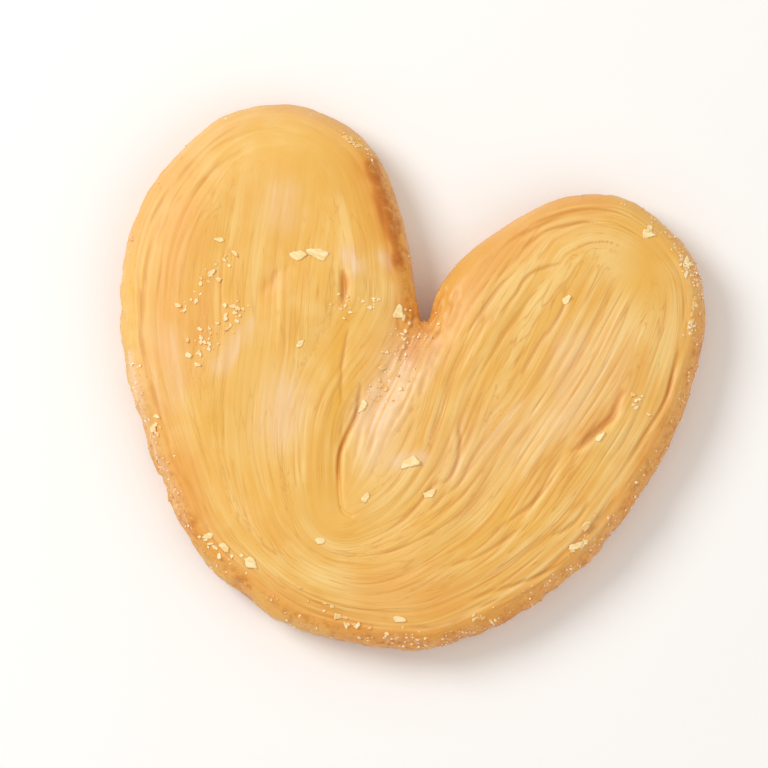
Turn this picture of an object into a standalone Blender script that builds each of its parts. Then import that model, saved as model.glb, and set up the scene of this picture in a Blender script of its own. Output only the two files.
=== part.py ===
"""A palmier: a heart of folded puff pastry, lying on its baked flat face.

Frame: metres, +Z up through the thickness, +Y from the fold at the bottom of the heart
towards the notch between the two lobes. The origin is under the middle of the outline.

The pastry is a strip of dough folded inwards from both ends, so every layer runs parallel
to one closed loop: along the rim and down and up both sides of the centre seam. The solid
is a loft of such loops, from that outer loop in to the core line of the fold.
"""

import bmesh
import bpy
import numpy as np
from mathutils import Vector, noise

NODE = "palmier"
MM = 0.001

# Driving sizes, in millimetres.
THICKNESS = 9.4  # the puffed middle of a lobe
EDGE_HEIGHT = 8.3  # the face just inside the rim
RIM_HEIGHT = 4.4  # the widest level of the side wall
RIM_ROUND = 2.7  # how far in the top edge is rounded
DOME_REACH = 9.0  # how far in the face goes on rising
FOOT_HEIGHT = 2.6  # the side wall curves under below this level
FOOT_ROUND = 1.5  # how far in the flat foot starts
SEAM_DEPTH = (3.4, 1.0)  # the valley between the lobes, at the notch and at its end
SEAM_WIDTH = (3.0, 1.3)
LAYERS = 8  # folded layers from the rim to the core line
LAYER_DEPTH = 0.4  # how deep the gap between two layers is
GAP_CHANGE = (0.8, 0.5)  # a gap's depth along its length: its mean, and the swing of the slow noise
OPEN_PITCH = 1.0  # layers closer than this are pressed together and their gaps are shallower
SWELL = 0.35  # slow unevenness of the face
SWELL_SIZE = 11.0

# The outline, in millimetres, from the notch round the left lobe, the bottom and the right lobe.
NOTCH = (2.0, 9.6)
LEFT_INNER = [NOTCH, (-2.9, 18.3)]
LEFT_TIP = [(-8.3, 25.5), (-13.5, 28.9), (-21.5, 29.8), (-29.0, 26.4), (-33.4, 20.5)]
OUTER_SIDE = [
    (-36.2, 12.0), (-35.6, 2.0), (-30.3, -10.0), (-17.0, -25.8), (-8.4, -30.4), (1.1, -32.4),
    (14.5, -30.2), (21.6, -25.6), (28.2, -18.2), (33.4, -8.4), (36.6, 5.4), (36.6, 14.1),
]  # fmt: skip
RIGHT_TIP = [(35.2, 22.0), (31.0, 28.6), (22.2, 32.5), (15.2, 31.3)]
RIGHT_INNER = [(9.4, 26.7), (4.2, 19.6), (2.3, 14.2)]
OUTLINE = LEFT_INNER + LEFT_TIP + OUTER_SIDE + RIGHT_TIP + RIGHT_INNER

# The centre seam, from the notch down to the fold, and the core line that the innermost
# layers fold round, from the left lobe's focus round the seam's end to the right lobe's.
SEAM = [
    NOTCH, (2.1, 5.6), (1.2, 1.5), (-0.5, -3.4), (-1.8, -6.8), (-1.9, -10.1), (-0.9, -13.4),
    (0.6, -16.4),
]  # fmt: skip
CORE = [
    (-21.6, 22.4), (-18.5, 10.0), (-15.4, -1.5), (-12.2, -12.5), (-6.9, -20.3), (1.5, -24.4),
    (10.5, -21.5), (17.3, -12.0), (20.6, -0.7), (23.2, 10.0), (25.6, 25.4),
]  # fmt: skip

# How the ribs that cross the folded strip are shared out: the share of the core line that
# lies beside each lobe's inner side, and beside the seam, and the number of ribs in each.
LOBE_SHARE = 0.175
SEAM_SHARE = 0.245
LOBE_RIBS = 14
SEAM_RIBS = 17
FAN_RIBS = 12
TIP_RIBS = 14

RIM_INSETS = (0.0, 0.2, 0.75, 1.6, 2.7)  # the loops that shape the rounded rim
LOOPS_A_LAYER = 2
FOOT_TURNS = (0.0, 0.35, 0.7, 1.0)  # shares of the quarter turn under the side wall
CURVE_STEPS = 20
EVEN = np.linspace(0, 1, 400)  # shares that divide a path into equal lengths
WELD = 1e-6  # metres: loops that meet on the seam and the core line become one

CRUST_COLOUR = (0.84, 0.50, 0.155, 1.0)
CRUST_ROUGHNESS = 0.55


def clear_scene():
    for obj in list(bpy.data.objects):
        bpy.data.objects.remove(obj)


def smooth_curve(points, closed=False):
    """A Catmull-Rom curve through the points, as an array of many points."""
    p = np.array(points, float)
    if closed:
        p = np.vstack([p[-1], p, p[:2]])
    else:
        p = np.vstack([2 * p[0] - p[1], p, 2 * p[-1] - p[-2]])
    t = np.linspace(0, 1, CURVE_STEPS, endpoint=False)[:, None]
    spans = []
    for a, b, c, d in zip(p, p[1:], p[2:], p[3:]):
        spans.append(b + 0.5 * t * (c - a + t * (2 * a - 5 * b + 4 * c - d + t * (3 * (b - c) + d - a))))
    return np.vstack(spans + [p[-2:-1]])


def at_shares(curve, shares):
    """The points at these shares of the curve's length."""
    run = np.concatenate([[0], np.cumsum(np.linalg.norm(np.diff(curve, axis=0), axis=1))])
    wanted = np.asarray(shares) * run[-1]
    return np.stack([np.interp(wanted, run, curve[:, 0]), np.interp(wanted, run, curve[:, 1])], 1)


def distance_to(curve, points):
    """How far each point is from the curve, and the share along the curve of the nearest spot."""
    start, step = curve[:-1], np.diff(curve, axis=0)
    away = points[:, None] - start[None]
    t = np.clip((away * step).sum(2) / np.maximum((step**2).sum(1), 1e-12), 0, 1)
    far = np.linalg.norm(away - t[..., None] * step, axis=2)
    nearest = far.argmin(1)
    rows = np.arange(len(points))
    return far[rows, nearest], (nearest + t[rows, nearest]) / len(step)


def outline_stretches():
    """The outline cut into the left lobe's inner side and tip, the outer side, and the right lobe's."""
    outline = smooth_curve(OUTLINE, closed=True)
    points = [len(part) for part in (LEFT_INNER, LEFT_TIP, OUTER_SIDE, RIGHT_TIP, RIGHT_INNER)]
    spans = np.array(points) + (0, -1, 1, -1, 1)  # a tip's stretch ends at its own last point
    cuts = np.cumsum([0, *spans]) * CURVE_STEPS
    return [outline[begins : ends + 1] for begins, ends in zip(cuts, cuts[1:])]


def ribs():
    """The two ends of every rib, in order round the loop: on the outer loop and on the core line.

    Also says which ribs start on the rim, where the side wall hangs, and not on the seam.
    """
    left_inner, left_tip, outer_side, right_tip, right_inner = outline_stretches()
    seam, core = smooth_curve(SEAM), smooth_curve(CORE)

    # The stretches of the loop's inner side, from the left lobe's tip to the right one's:
    # (path, the share of the core line where it ends, its number of ribs).
    fold = LOBE_SHARE + SEAM_SHARE
    inner_side = [
        (left_inner[::-1], LOBE_SHARE, LOBE_RIBS),
        (seam, fold, SEAM_RIBS),
        (seam[-1:], 1 - fold, FAN_RIBS),
        (seam[::-1], 1 - LOBE_SHARE, SEAM_RIBS),
        (right_inner[::-1], 1.0, LOBE_RIBS),
    ]
    shares, inner_ends, begins = [], [], 0.0
    for path, ends, count in inner_side:
        shares.append(np.linspace(begins, ends, count, endpoint=False))
        inner_ends.append(at_shares(path, np.linspace(0, 1, count, endpoint=False)))
        begins = ends
    shares = np.concatenate(shares + [[1.0]])
    inner_ends = np.vstack(inner_ends + [right_inner[:1]])

    # On the outer side a rib lies between the even spacing and the shortest way across.
    _, shortest = distance_to(at_shares(outer_side, EVEN), at_shares(core, shares))
    outer_ends = at_shares(outer_side, (shares + shortest) / 2)

    between = np.linspace(0, 1, TIP_RIBS + 1, endpoint=False)[1:]
    right_tip_ends, left_tip_ends = at_shares(right_tip, between), at_shares(left_tip, between)
    loop = np.vstack([outer_ends, right_tip_ends, inner_ends[::-1], left_tip_ends])
    core_shares = np.concatenate([shares, np.ones(TIP_RIBS), shares[::-1], np.zeros(TIP_RIBS)])
    beside_seam = (shares > LOBE_SHARE) & (shares < 1 - LOBE_SHARE)
    on_rim = np.ones(len(loop), bool)
    on_rim[len(shares) + TIP_RIBS :][: len(shares)] = ~beside_seam
    return loop, at_shares(core, core_shares), on_rim


def mix(pair, share):
    return pair[0] + (pair[1] - pair[0]) * share


def slow_noise(points, layer):
    """A smooth value from about -0.5 to 0.5 for each point, different for each layer."""
    return np.array([noise.noise(Vector((x / SWELL_SIZE, y / SWELL_SIZE, layer))) for x, y in points])


def face_height(points):
    """The height of the upper face without its layers: a rounded rim, a puffed middle and a seam valley."""
    inset, _ = distance_to(smooth_curve(OUTLINE, closed=True), points)
    from_seam, along_seam = distance_to(smooth_curve(SEAM), points)
    rise = np.clip(inset / DOME_REACH, 0, 1)
    body = EDGE_HEIGHT + (THICKNESS - EDGE_HEIGHT) * rise * rise * (3 - 2 * rise)
    body += SWELL * rise * slow_noise(points, 0)
    body -= mix(SEAM_DEPTH, along_seam) * np.exp(-((from_seam / mix(SEAM_WIDTH, along_seam)) ** 2))
    edge = np.sqrt(1 - (1 - np.clip(inset / RIM_ROUND, 0, 1)) ** 2)
    return RIM_HEIGHT + (body - RIM_HEIGHT) * edge


def face_loops(outer_ends, core_ends):
    """The loops of the upper face, from the outer one to the core line: every second one lies in a gap."""
    length = np.linalg.norm(core_ends - outer_ends, axis=1)
    toward = (core_ends - outer_ends) / length[:, None]
    loops = []
    for inset in RIM_INSETS:
        points = outer_ends + toward * inset
        loops.append(np.column_stack([points, face_height(points)]))
    count = LAYERS * LOOPS_A_LAYER
    pitch = (length - RIM_INSETS[-1]) / count
    depth = LAYER_DEPTH * np.minimum(pitch * LOOPS_A_LAYER / OPEN_PITCH, 1)
    for k in range(1, count + 1):
        points = outer_ends + toward * (RIM_INSETS[-1] + pitch * k)[:, None]
        in_gap = k % LOOPS_A_LAYER
        sunk = in_gap * depth * (GAP_CHANGE[0] + GAP_CHANGE[1] * slow_noise(points, k))
        loops.append(np.column_stack([points, face_height(points) - sunk]))
    return loops


def wall_loops(rim):
    """The side wall below the rim: straight down, then curving under to the flat foot."""
    tangent = np.roll(rim, -1, axis=0) - np.roll(rim, 1, axis=0)
    inward = np.stack([-tangent[:, 1], tangent[:, 0]], 1)
    inward /= np.linalg.norm(inward, axis=1)[:, None]
    loops = []
    for turn in FOOT_TURNS:
        angle = turn * np.pi / 2
        points = rim + inward * FOOT_ROUND * (1 - np.cos(angle))
        level = np.full(len(rim), FOOT_HEIGHT * (1 - np.sin(angle)))
        loops.append(np.column_stack([points, level]))
    return loops


def loft(bm, loops):
    """Skins a list of closed loops of vertices, each as long as the one before."""
    for upper, lower in zip(loops, loops[1:]):
        for i in range(len(upper)):
            j = (i + 1) % len(upper)
            bm.faces.new((upper[i], upper[j], lower[j], lower[i]))


def add_loop(bm, points):
    return [bm.verts.new(Vector(p) * MM) for p in points]


def middle_of_outline():
    outline = smooth_curve(OUTLINE, closed=True)
    middle = (outline.min(0) + outline.max(0)) / 2
    return Vector((middle[0], middle[1], 0.0)) * MM


def build_mesh():
    outer_ends, core_ends, on_rim = ribs()
    bm = bmesh.new()
    face = [add_loop(bm, points) for points in face_loops(outer_ends, core_ends)]
    loft(bm, face)
    rim = [vertex for vertex, hangs in zip(face[0], on_rim) if hangs]
    wall = [add_loop(bm, points) for points in wall_loops(outer_ends[on_rim])]
    loft(bm, [rim, *wall])
    bm.faces.new(wall[-1])
    bmesh.ops.remove_doubles(bm, verts=bm.verts, dist=WELD)
    bmesh.ops.recalc_face_normals(bm, faces=bm.faces)
    bmesh.ops.translate(bm, verts=bm.verts, vec=-middle_of_outline())
    mesh = bpy.data.meshes.new(NODE)
    bm.to_mesh(mesh)
    bm.free()
    return mesh


def crust_material():
    material = bpy.data.materials.new("baked_pastry")
    material.use_nodes = True
    shader = material.node_tree.nodes["Principled BSDF"]
    shader.inputs["Base Color"].default_value = CRUST_COLOUR
    shader.inputs["Roughness"].default_value = CRUST_ROUGHNESS
    shader.inputs["Metallic"].default_value = 0.0
    return material


def main():
    clear_scene()
    pastry = bpy.data.objects.new(NODE, build_mesh())
    pastry.data.materials.append(crust_material())
    pastry.data.shade_smooth()
    group = bpy.data.collections.new("palmier_pastry")
    bpy.context.scene.collection.children.link(group)
    group.objects.link(pastry)


main()
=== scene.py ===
"""The looks of the palmier: its layered golden face, browned sugary rim, flakes and crumbs.

The pastry repeats the construction of the CAD part. It is a strip of dough folded inwards
from both ends, so all its layers run parallel to one closed loop, along the rim and down
and up both sides of the centre seam, and they close on the core line of the fold. Lengths
are in millimetres in the part's drawing frame, and become metres when a mesh is made.
"""

import math

import bmesh
import bpy
import numpy as np
from mathutils import Matrix, Quaternion, Vector, noise
from mathutils.bvhtree import BVHTree

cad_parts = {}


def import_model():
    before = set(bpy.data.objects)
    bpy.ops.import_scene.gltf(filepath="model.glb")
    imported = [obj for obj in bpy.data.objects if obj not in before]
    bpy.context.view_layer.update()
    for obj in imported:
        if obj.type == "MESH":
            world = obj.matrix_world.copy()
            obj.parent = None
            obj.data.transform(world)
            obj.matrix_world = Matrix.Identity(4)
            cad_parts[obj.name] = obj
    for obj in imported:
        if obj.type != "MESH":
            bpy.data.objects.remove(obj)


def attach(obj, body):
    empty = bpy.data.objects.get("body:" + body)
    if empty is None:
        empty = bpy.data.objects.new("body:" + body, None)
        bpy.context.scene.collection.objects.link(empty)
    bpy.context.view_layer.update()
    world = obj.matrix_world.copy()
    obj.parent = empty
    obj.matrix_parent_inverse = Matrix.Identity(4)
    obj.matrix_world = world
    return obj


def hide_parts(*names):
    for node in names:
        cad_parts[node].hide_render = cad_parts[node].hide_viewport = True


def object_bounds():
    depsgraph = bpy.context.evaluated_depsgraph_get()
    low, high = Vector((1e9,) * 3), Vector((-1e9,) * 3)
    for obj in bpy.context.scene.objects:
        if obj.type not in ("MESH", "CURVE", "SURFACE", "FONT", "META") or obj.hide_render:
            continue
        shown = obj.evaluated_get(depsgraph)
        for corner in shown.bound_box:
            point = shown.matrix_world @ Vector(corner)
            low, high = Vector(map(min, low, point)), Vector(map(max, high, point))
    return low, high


MM = 0.001
NODE = "palmier"

# ---------------------------------------------------------------- sizes that the CAD part has
THICKNESS = 9.4
EDGE_HEIGHT = 8.3
RIM_HEIGHT = 4.4
RIM_ROUND = 2.7
DOME_REACH = 9.0
FOOT_HEIGHT = 2.6
FOOT_ROUND = 1.5
SEAM_DEPTH = (3.4, 1.0)
SEAM_WIDTH = (3.0, 1.3)
SWELL = 0.35
SWELL_SIZE = 11.0

NOTCH = (2.0, 9.6)
LEFT_INNER = [NOTCH, (-2.9, 18.3)]
LEFT_TIP = [(-8.3, 25.5), (-13.5, 28.9), (-21.5, 29.8), (-29.0, 26.4), (-33.4, 20.5)]
OUTER_SIDE = [
    (-36.2, 12.0), (-35.6, 2.0), (-30.3, -10.0), (-17.0, -25.8), (-8.4, -30.4), (1.1, -32.4),
    (14.5, -30.2), (21.6, -25.6), (28.2, -18.2), (33.4, -8.4), (36.6, 5.4), (36.6, 14.1),
]  # fmt: skip
RIGHT_TIP = [(35.2, 22.0), (31.0, 28.6), (22.2, 32.5), (15.2, 31.3)]
RIGHT_INNER = [(9.4, 26.7), (4.2, 19.6), (2.3, 14.2)]
OUTLINE = LEFT_INNER + LEFT_TIP + OUTER_SIDE + RIGHT_TIP + RIGHT_INNER
SEAM = [
    NOTCH, (2.1, 5.6), (1.2, 1.5), (-0.5, -3.4), (-1.8, -6.8), (-1.9, -10.1), (-0.9, -13.4),
    (0.6, -16.4),
]  # fmt: skip
CORE = [
    (-21.6, 22.4), (-18.5, 10.0), (-15.4, -1.5), (-12.2, -12.5), (-6.9, -20.3), (1.5, -24.4),
    (10.5, -21.5), (17.3, -12.0), (20.6, -0.7), (23.2, 10.0), (25.6, 25.4),
]  # fmt: skip
LOBE_SHARE = 0.175
SEAM_SHARE = 0.245

# ---------------------------------------------------------------- the grid of the fine surface
LOBE_RIBS = 62
SEAM_RIBS = 75
FAN_RIBS = 44
TIP_RIBS = 60
FACE_ROWS = 104
WALL_ROWS = 18
UNDER_ROWS = 10
ROW_CROWDING = 1.12  # above 1, the rows are closer together at the rim
CURVE_STEPS = 24
RIB_STEPS = 48
EVEN = np.linspace(0, 1, 400)
STRAND_SPAN = 15.0  # the usual width of the folded strip, from the outer loop to the core

# ---------------------------------------------------------------- relief, in millimetres
FACE_DROP = 0.3  # the plain face lies this far under the CAD face, so that flakes fit in its box

# The strands run parallel to this loop: the rim, and the banks of the sugared valley at the seam.
STRAND_LOOP = [(-2.9, 18.3), *LEFT_TIP, *OUTER_SIDE, *RIGHT_TIP, (9.4, 26.7)]
LEFT_BANK = [(-2.9, 18.3), (0.6, 9.6), (-0.2, 3.0), (-1.6, -1.2), (-2.4, -5.0), (-1.7, -9.5), (0.6, -16.4)]
RIGHT_BANK = [(0.6, -16.4), (3.4, -12.6), (4.9, -8.0), (5.2, -3.0), (4.8, 3.0), (5.1, 8.3), (5.9, 14.4), (9.4, 26.7)]
# They close on a core line with shorter ends than the fold has, so that their turns stay round.
STRAND_CORE = [(-20.8, 18.0), *CORE[1:-1], (24.4, 20.0)]
# Inside the lobes the grain runs straight, along the core line and on past its ends.
GRAIN_CORE = [(-24.0, 32.0), *CORE, (27.2, 35.6)]
GRAIN_LENGTH = 125.0
GRAIN_BEGINS = (6.2, 11.0)  # how far from the rim and the banks the straight grain takes over
SMOOTH_SPOTS = [(-19.6, 22.2, 11.0), (25.2, 24.0, 7.0), (-0.8, -17.4, 6.5)]  # x, y and reach of smooth dough

VALLEY_FAN = 8.0  # the strands that fan out over the valley are this wide in all
SEAM_FILL = 0.72  # sugar and crumbs fill the seam's valley by this share of its depth

# Thin cracks between the strands: (depth, half width, width across, length along, seed)
CRACKS = [(0.10, 0.050, 2.4, 40.0, 51), (0.09, 0.045, 3.2, 50.0, 52), (0.08, 0.050, 1.5, 26.0, 53)]

# Overlapping sheets of flaky dough: (sheets a millimetre, height of an edge, side it faces, seed)
SHEETS = [(0.62, 0.24, 1, 31), (0.45, 0.26, -1, 32), (0.95, 0.16, 1, 33)]
STRANDS = [(0.16, 3.0, 26.0, 3), (0.05, 0.8, 18.0, 4)]  # height, width, length, seed

BLISTER = (0.32, -12.8, 5.8, 4.2)  # height, x, y and reach of the blister in the left lobe

# Folds and creases of the face: (depth, width, path). The dough is raised beside each one.
FOLDS = [
    (0.26, 0.40, [(8.5, -13.2), (10.3, -10.1), (11.8, -8.6), (12.1, -6.5), (11.6, -3.7), (10.7, -1.7), (10.8, 3.9)]),
    (0.18, 0.35, [(10.9, -13.0), (12.5, -9.9), (13.4, -8.0), (13.8, -4.5), (14.8, -1.0)]),
    (0.22, 0.40, [(11.0, 11.6), (11.3, 14.2), (11.9, 16.0), (12.2, 17.7), (13.3, 19.5), (16.0, 21.5)]),
    (0.20, 0.38, [(7.0, 7.2), (8.3, 11.1), (9.1, 14.3), (9.9, 16.7), (11.5, 19.5)]),
    (0.20, 0.36, [(10.6, 21.4), (11.6, 23.0), (12.8, 24.7), (15.0, 26.2), (16.9, 27.2), (20.0, 27.8)]),
    (0.22, 0.36, [(9.6, 23.4), (11.5, 25.7), (14.4, 27.9), (17.2, 29.3), (20.0, 29.9), (22.5, 29.7)]),
    (0.24, 0.38, [(17.4, 17.4), (17.9, 16.6), (17.6, 14.1), (16.9, 11.3)]),
    (0.70, 0.75, [(28.4, 9.4), (28.2, 7.6), (28.1, 5.5), (27.0, 3.3), (26.1, 1.6), (24.6, -0.6)]),
    (0.16, 0.40, [(21.1, 9.8), (20.2, 7.3), (19.0, 3.7), (18.4, 0.4)]),
    (0.16, 0.40, [(16.9, 12.9), (16.3, 9.6), (15.8, 6.6)]),
    (0.24, 0.38, [(32.9, 17.9), (33.1, 15.5), (33.6, 11.8), (33.6, 8.9), (33.0, 6.2), (31.9, 0.7), (31.0, -2.6)]),
    (0.30, 0.45, [(29.0, -4.6), (28.5, -7.5), (27.6, -9.3), (25.9, -11.0)]),
    (0.26, 0.40, [(29.4, -12.0), (28.1, -14.0), (26.8, -15.4), (24.8, -17.3), (22.1, -19.4), (18.5, -22.2)]),
    (0.22, 0.38, [(24.4, -3.2), (23.4, -5.5), (22.5, -7.9), (21.2, -10.0), (19.0, -13.6)]),
    (0.22, 0.38, [(22.9, -10.3), (21.3, -12.7), (19.8, -14.8), (17.8, -16.9), (14.5, -19.3)]),
    (0.16, 0.40, [(-31.2, 17.5), (-28.4, 21.6), (-23.5, 24.9), (-18.5, 25.8)]),
    (0.12, 0.40, [(-30.2, 13.0), (-28.3, 18.3), (-25.0, 21.6)]),
    (0.12, 0.45, [(-32.6, 11.0), (-32.4, 4.0), (-30.4, -3.5)]),
    (0.16, 0.40, [(-6.2, 5.0), (-5.3, 0.0), (-3.6, -5.0)]),
    (0.30, 1.20, [(-17.8, 4.6), (-17.0, 7.6), (-15.2, 9.6)]),
    (0.60, 0.70, [(-9.4, 11.4), (-8.5, 9.6), (-7.8, 7.2)]),
    (0.70, 0.38, [(-2.4, -1.0), (-1.6, -5.0), (-1.9, -8.0), (-1.8, -10.5), (-0.8, -13.4), (0.8, -16.6), (2.6, -17.0)]),
]


def load_frame():
    """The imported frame, and the CAD model's box before anything is added."""
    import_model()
    return [list(corner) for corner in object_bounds()]


# ---------------------------------------------------------------- curves
def smooth_curve(points, closed=False, steps=CURVE_STEPS):
    """A Catmull-Rom curve through the points, as an array of many points."""
    p = np.array(points, float)
    if closed:
        p = np.vstack([p[-1], p, p[:2]])
    else:
        p = np.vstack([2 * p[0] - p[1], p, 2 * p[-1] - p[-2]])
    t = np.linspace(0, 1, steps, endpoint=False)[:, None]
    spans = []
    for a, b, c, d in zip(p, p[1:], p[2:], p[3:]):
        spans.append(b + 0.5 * t * (c - a + t * (2 * a - 5 * b + 4 * c - d + t * (3 * (b - c) + d - a))))
    return np.vstack(spans + [p[-2:-1]])


def at_shares(curve, shares):
    """The points at these shares of the curve's length."""
    run = np.concatenate([[0], np.cumsum(np.linalg.norm(np.diff(curve, axis=0), axis=1))])
    wanted = np.asarray(shares) * run[-1]
    return np.stack([np.interp(wanted, run, curve[:, 0]), np.interp(wanted, run, curve[:, 1])], 1)


def nearest_on(curve, points, chunk=4000):
    """For each point: its distance to the curve, the share along it, and the side it lies on."""
    start, step = curve[:-1], np.diff(curve, axis=0)
    squared = np.maximum((step**2).sum(1), 1e-12)
    results = []
    for first in range(0, len(points), chunk):
        away = points[first : first + chunk, None] - start[None]
        t = np.clip((away * step).sum(2) / squared, 0, 1)
        far = np.linalg.norm(away - t[..., None] * step, axis=2)
        nearest = far.argmin(1)
        rows = np.arange(len(nearest))
        offset = away[rows, nearest]
        side = np.sign(step[nearest, 0] * offset[:, 1] - step[nearest, 1] * offset[:, 0])
        results.append(np.stack([far[rows, nearest], (nearest + t[rows, nearest]) / len(step), side], 1))
    return np.vstack(results).T


# ---------------------------------------------------------------- the folded strip
def outline_stretches():
    """The outline cut into the left lobe's inner side and tip, the outer side, and the right lobe's."""
    outline = smooth_curve(OUTLINE, closed=True)
    points = [len(part) for part in (LEFT_INNER, LEFT_TIP, OUTER_SIDE, RIGHT_TIP, RIGHT_INNER)]
    spans = np.array(points) + (0, -1, 1, -1, 1)  # a tip's stretch ends at its own last point
    cuts = np.cumsum([0, *spans]) * CURVE_STEPS
    return [outline[begins : ends + 1] for begins, ends in zip(cuts, cuts[1:])]


def ribs():
    """The ribs that cross the strip, in order round the loop.

    Gives their outer ends, their ends on the core line, which of them start on the rim and
    not on the seam, and the side of the strip: outer side, tip or inner side.
    """
    left_inner, left_tip, outer_side, right_tip, right_inner = outline_stretches()
    seam, core = smooth_curve(SEAM), smooth_curve(CORE)
    fold = LOBE_SHARE + SEAM_SHARE
    inner_side = [
        (left_inner[::-1], LOBE_SHARE, LOBE_RIBS),
        (seam, fold, SEAM_RIBS),
        (seam[-1:], 1 - fold, FAN_RIBS),
        (seam[::-1], 1 - LOBE_SHARE, SEAM_RIBS),
        (right_inner[::-1], 1.0, LOBE_RIBS),
    ]
    shares, inner_ends, begins = [], [], 0.0
    for path, ends, count in inner_side:
        shares.append(np.linspace(begins, ends, count, endpoint=False))
        inner_ends.append(at_shares(path, np.linspace(0, 1, count, endpoint=False)))
        begins = ends
    shares = np.concatenate(shares + [[1.0]])
    inner_ends = np.vstack(inner_ends + [right_inner[:1]])

    _, shortest, _ = nearest_on(at_shares(outer_side, EVEN), at_shares(core, shares))
    outer_ends = at_shares(outer_side, (shares + shortest) / 2)
    between = np.linspace(0, 1, TIP_RIBS + 1, endpoint=False)[1:]
    right_tip_ends, left_tip_ends = at_shares(right_tip, between), at_shares(left_tip, between)

    outer_loop = np.vstack([outer_ends, right_tip_ends, inner_ends[::-1], left_tip_ends])
    core_shares = np.concatenate([shares, np.ones(TIP_RIBS), shares[::-1], np.zeros(TIP_RIBS)])
    beside_seam = (shares > LOBE_SHARE) & (shares < 1 - LOBE_SHARE)
    on_rim = np.ones(len(outer_loop), bool)
    on_rim[len(shares) + TIP_RIBS :][: len(shares)] = ~beside_seam
    return outer_loop, at_shares(core, core_shares), on_rim


def layer_level(points):
    """0 on the outline and the seam, 1 on the core line, and smooth between: the layers' level lines."""
    loops = [smooth_curve(OUTLINE, closed=True), smooth_curve(SEAM)]
    outside = np.minimum(*[nearest_on(loop, points)[0] for loop in loops])
    inside = nearest_on(smooth_curve(CORE), points)[0]
    return outside / (outside + inside)


def face_grid(outer_loop, core_ends):
    """Points of the upper face: a row for each level, from the outer loop in, a column for each rib."""
    steps = np.linspace(0, 1, RIB_STEPS)[:, None, None]
    along_ribs = outer_loop + steps * (core_ends - outer_loop)
    level = layer_level(along_ribs.reshape(-1, 2)).reshape(RIB_STEPS, -1)
    level = np.maximum.accumulate(level, axis=0)
    wanted = np.linspace(0, 1, FACE_ROWS + 1) ** ROW_CROWDING
    share = np.stack([np.interp(wanted, column, steps.ravel()) for column in level.T], 1)
    share[0], share[-1] = 0, 1
    grid = outer_loop + share[..., None] * (core_ends - outer_loop)
    return grid, np.repeat(wanted[:, None], len(outer_loop), axis=1)


def run_angles(grid):
    """Each rib's place round the loop as an angle, and the loop's radius if it were a circle."""
    middle = grid[FACE_ROWS // 2]
    step = np.linalg.norm(np.roll(middle, -1, axis=0) - middle, axis=1)
    run = np.concatenate([[0], np.cumsum(step)[:-1]])
    return run / step.sum() * 2 * np.pi, step.sum() / (2 * np.pi)


def mix(pair, share):
    return pair[0] + (pair[1] - pair[0]) * share


def smooth_step(low, high, value):
    t = np.clip((value - low) / (high - low), 0, 1)
    return t * t * (3 - 2 * t)


def wavy(points, size, seed=0.0):
    """Smooth noise from about -1 to 1 for each point; size is in millimetres, one or one an axis."""
    p = np.zeros((len(points), 3))
    p[:, : points.shape[1]] = points
    return np.array([noise.noise(q) for q in (p / size + seed).tolist()])


def face_height(points, inset, from_seam, along_seam):
    """The height of the upper face without its relief: a rounded rim, a puffed middle, a seam valley."""
    rise = np.clip(inset / DOME_REACH, 0, 1)
    body = EDGE_HEIGHT - FACE_DROP + (THICKNESS - EDGE_HEIGHT) * rise * rise * (3 - 2 * rise)
    body += SWELL * rise * wavy(points, SWELL_SIZE)
    valley = mix(SEAM_DEPTH, along_seam) * np.exp(-((from_seam / mix(SEAM_WIDTH, along_seam)) ** 2))
    body -= (1 - SEAM_FILL) * valley
    edge = np.sqrt(1 - (1 - np.clip(inset / RIM_ROUND, 0, 1)) ** 2)
    return RIM_HEIGHT + (body - RIM_HEIGHT) * edge


def wall_grid(rim):
    """Points of the side wall: straight down from the rim, then curving under to the flat foot."""
    tangent = np.roll(rim, -1, axis=0) - np.roll(rim, 1, axis=0)
    inward = np.stack([-tangent[:, 1], tangent[:, 0]], 1)
    inward /= np.linalg.norm(inward, axis=1)[:, None]
    at_notch = np.linalg.norm(rim - NOTCH, axis=1) < 1e-6
    inward[at_notch] = (0, -1)
    arc = FOOT_ROUND * np.pi / 2
    straight = RIM_HEIGHT - FOOT_HEIGHT
    rows = []
    for reach in np.linspace(0, straight + arc, WALL_ROWS + 1)[1:]:
        angle = max(reach - straight, 0) / FOOT_ROUND
        points = rim + inward * FOOT_ROUND * (1 - np.cos(angle))
        level = RIM_HEIGHT - reach if angle == 0 else FOOT_HEIGHT * (1 - np.sin(angle))
        rows.append(np.column_stack([points, np.full(len(rim), level)]))
    return np.array(rows)


def under_grid(foot, outer_loop, core_ends, on_rim):
    """Points of the flat underside, from the foot's edge, or the seam, to the core line."""
    starts = outer_loop.copy()
    starts[on_rim] = foot
    seam = smooth_curve(SEAM)
    _, along, _ = nearest_on(at_shares(seam, EVEN), outer_loop[~on_rim])
    hidden = FOOT_ROUND / np.linalg.norm(np.diff(seam, axis=0), axis=1).sum()
    starts[~on_rim] = at_shares(seam, hidden + (1 - hidden) * along)
    shares = np.linspace(0, 1, UNDER_ROWS + 1)[:, None, None]
    return starts + shares * (core_ends - starts)


# ---------------------------------------------------------------- relief
def inside(loop, points):
    """Whether each point lies inside a closed loop."""
    x, y = points[:, :1], points[:, 1:]
    begins, ends = loop, np.roll(loop, -1, axis=0)
    spans = (begins[:, 1] > y) != (ends[:, 1] > y)
    rise = np.where(ends[:, 1] == begins[:, 1], 1.0, ends[:, 1] - begins[:, 1])
    crossing = begins[:, 0] + (y - begins[:, 1]) * (ends[:, 0] - begins[:, 0]) / rise
    return (spans & (x < crossing)).sum(1) % 2 == 1


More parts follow.
